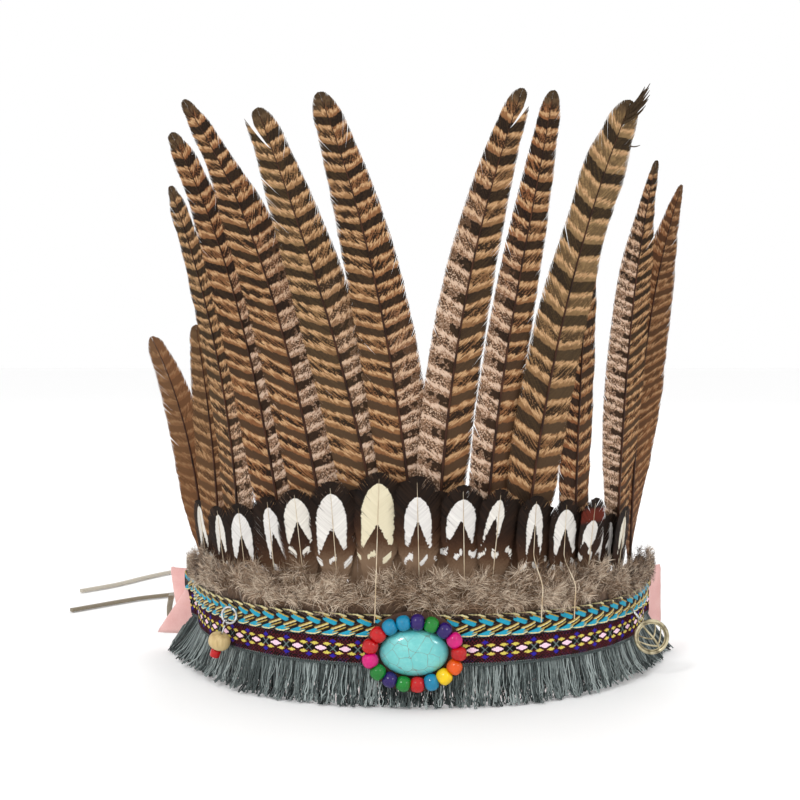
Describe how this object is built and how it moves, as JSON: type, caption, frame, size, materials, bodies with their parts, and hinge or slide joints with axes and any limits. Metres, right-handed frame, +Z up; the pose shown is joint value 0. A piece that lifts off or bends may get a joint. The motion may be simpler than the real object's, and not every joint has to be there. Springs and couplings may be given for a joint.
{
  "type": "feathered headdress",
  "caption": "Open felt headband with a yarn fringe, woven trims, down, plumes, upright tail feathers, a beaded rosette, charms and tie laces.",
  "frame": {"origin": "on the floor, under the middle of the headdress without its laces (the middle of its bounding box in X and Y)", "axes": "+Z up along the feathers, -Y out of the front of the band where the rosette is, +X towards the end of the band with the medallion"},
  "size_m": [0.3414, 0.3394, 0.2719],
  "materials": {
    "felt": "matt wool felt, dusty pink",
    "yarn": "matt looped yarn, slate grey",
    "jacquard": "woven ribbon, black and purple with yellow, pink and blue",
    "braid": "flat plait, turquoise, gold and dark brown",
    "down": "soft down, taupe",
    "tail_feather": "feather vane, rufous with dark bars",
    "plume": "feather vane, white with a dark rim and shaft",
    "leather": "matt brown leather",
    "turquoise": "polished turquoise with a grey-brown matrix",
    "bead_purple": "gloss paint",
    "bead_green": "gloss paint",
    "bead_pink": "gloss paint",
    "bead_red": "gloss paint",
    "bead_orange": "gloss paint",
    "bead_yellow": "gloss paint",
    "bead_blue": "gloss paint",
    "bare_wood": "bare, satin",
    "thread": "waxed thread",
    "silver": "polished silver plate",
    "pewter": "aged pewter",
    "suede_olive": "suede, olive taupe",
    "suede_grey": "suede, grey beige"
  },
  "bodies": {
    "root": {"felt_lining": "felt", "fringe": "yarn", "jacquard_ribbon": "jacquard", "braid_trim": "braid", "down_ruff": "down", "tail_feather_01": "tail_feather", "tail_feather_02": "tail_feather", "tail_feather_03": "tail_feather", "tail_feather_04": "tail_feather", "tail_feather_05": "tail_feather", "tail_feather_06": "tail_feather", "tail_feather_07": "tail_feather", "tail_feather_08": "tail_feather", "tail_feather_09": "tail_feather", "tail_feather_10": "tail_feather", "tail_feather_11": "tail_feather", "tail_feather_12": "tail_feather", "tail_feather_13": "tail_feather", "plume_feather_01": "plume", "plume_feather_02": "plume", "plume_feather_03": "plume", "plume_feather_04": "plume", "plume_feather_05": "plume", "plume_feather_06": "plume", "plume_feather_07": "plume", "plume_feather_08": "plume", "plume_feather_09": "plume", "plume_feather_10": "plume", "plume_feather_11": "plume", "plume_feather_12": "plume", "plume_feather_13": "plume", "plume_feather_14": "plume", "rosette_backing": "leather", "cabochon": "turquoise", "bead_01": "bead_purple", "bead_02": "bead_green", "bead_03": "bead_purple", "bead_04": "bead_pink", "bead_05": "bead_red", "bead_06": "bead_orange", "bead_07": "bead_yellow", "bead_08": "bead_blue", "bead_09": "bead_red", "bead_10": "bead_green", "bead_11": "bead_purple", "bead_12": "bead_green", "bead_13": "bead_pink", "bead_14": "bead_red", "bead_15": "bead_red", "bead_16": "bead_blue", "bead_17": "bead_blue", "bead_thread": "thread", "charm_ring_left": "silver", "bead_pin": "silver", "red_bead": "bead_red", "wood_bead": "bare_wood", "charm_ring_right": "silver", "medallion": "pewter", "tie_left": "suede_olive", "tie_right": "suede_grey"}
  },
  "joints": []
}
